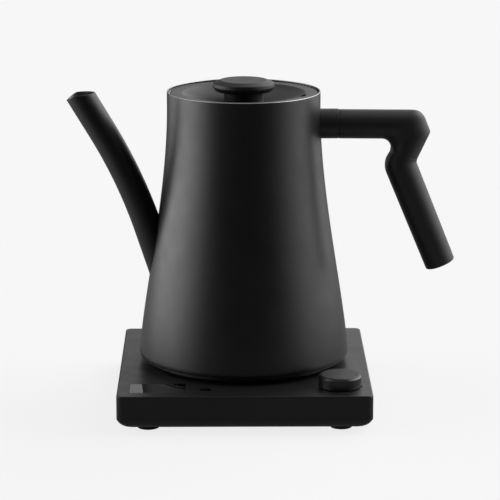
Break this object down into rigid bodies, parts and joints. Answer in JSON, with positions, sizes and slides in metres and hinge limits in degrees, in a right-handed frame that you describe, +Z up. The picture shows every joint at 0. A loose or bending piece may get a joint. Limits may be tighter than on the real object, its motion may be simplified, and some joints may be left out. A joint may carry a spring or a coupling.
{
  "type": "electric pour-over kettle on a power base",
  "caption": "Matt black electric pouring kettle with a slim leaning spout, a bent bar handle, a dished lid with a knob, and a square power base with a display window and a dial.",
  "frame": {"origin": "centre of the bounding box at the table, under the feet", "axes": "+X towards the handle, -X towards the spout, -Y towards the front with the display and the dial, +Z up"},
  "size_m": [0.2498, 0.168, 0.208],
  "materials": {
    "black_coated_steel": "matt powder coat",
    "black_base_shell": "fine satin",
    "black_plastic": "matt",
    "soft_black_grip": "soft matt",
    "black_rubber": "matt",
    "grey_silicone": "matt",
    "stainless": "brushed",
    "screw_steel": "zinc plated",
    "contact_brass": "plain",
    "circuit_board": "solder mask",
    "pale_plastic": "plain",
    "black_window": "gloss",
    "plate_aluminium": "machined"
  },
  "bodies": {
    "base": {"base_cover": "black_base_shell", "base_tray": "black_base_shell", "foot_front_left": "black_rubber", "foot_front_right": "black_rubber", "foot_rear_left": "black_rubber", "foot_rear_right": "black_rubber", "tray_screws": "screw_steel", "power_socket": "black_plastic", "socket_contacts": "contact_brass", "socket_screws": "screw_steel", "socket_gasket": "black_rubber", "control_board": "circuit_board", "board_screws": "screw_steel", "mains_relay": "circuit_board", "terminal_block": "pale_plastic", "display_window": "black_window", "display_module": "circuit_board", "status_lens": "black_window", "encoder_housing": "stainless", "cord_bush": "black_rubber"},
    "dial_plunger": {"switch_plunger": "pale_plastic"},
    "dial": {"dial_shaft": "stainless", "dial_ring": "black_plastic", "dial_cap": "black_plastic"},
    "kettle": {"kettle_shell": "black_coated_steel", "neck_ring": "stainless", "kettle_floor": "stainless", "heat_plate": "plate_aluminium", "heating_element": "plate_aluminium", "element_terminals": "contact_brass", "thermal_cutouts": "stainless", "temperature_probe": "stainless", "probe_seal": "grey_silicone", "bottom_cover": "black_plastic", "cover_screws": "screw_steel", "kettle_connector": "black_plastic", "connector_contacts": "contact_brass", "spout_tube": "black_coated_steel", "handle_bracket": "black_coated_steel", "handle_gasket": "black_plastic", "handle_core": "stainless", "handle_grip": "soft_black_grip", "handle_screw": "screw_steel", "handle_weight": "stainless", "handle_end_cap": "soft_black_grip"},
    "lid": {"lid_dish": "black_coated_steel", "lid_skirt": "black_plastic", "lid_seal": "grey_silicone", "knob_stem": "black_plastic", "lid_knob": "black_plastic", "lid_washer": "stainless", "lid_screw": "stainless"}
  },
  "joints": [
    {"name": "kettle_lift", "type": "slide", "parent": "base", "child": "kettle", "axis": [0, 0, 1], "range_m": [0, 0.06]},
    {"name": "lid_lift", "type": "slide", "parent": "kettle", "child": "lid", "axis": [0, 0, 1], "range_m": [0, 0.05]},
    {"name": "dial_press", "type": "slide", "parent": "base", "child": "dial_plunger", "axis": [0, 0, -1], "range_m": [0, 0.0008], "stiffness_N_per_m": 2500, "springref_m": -0.0004},
    {"name": "dial_turn", "type": "hinge", "parent": "dial_plunger", "child": "dial", "pos_m": [0.04843, -0.0605, 0.028], "axis": [0, 0, 1], "continuous": true}
  ]
}
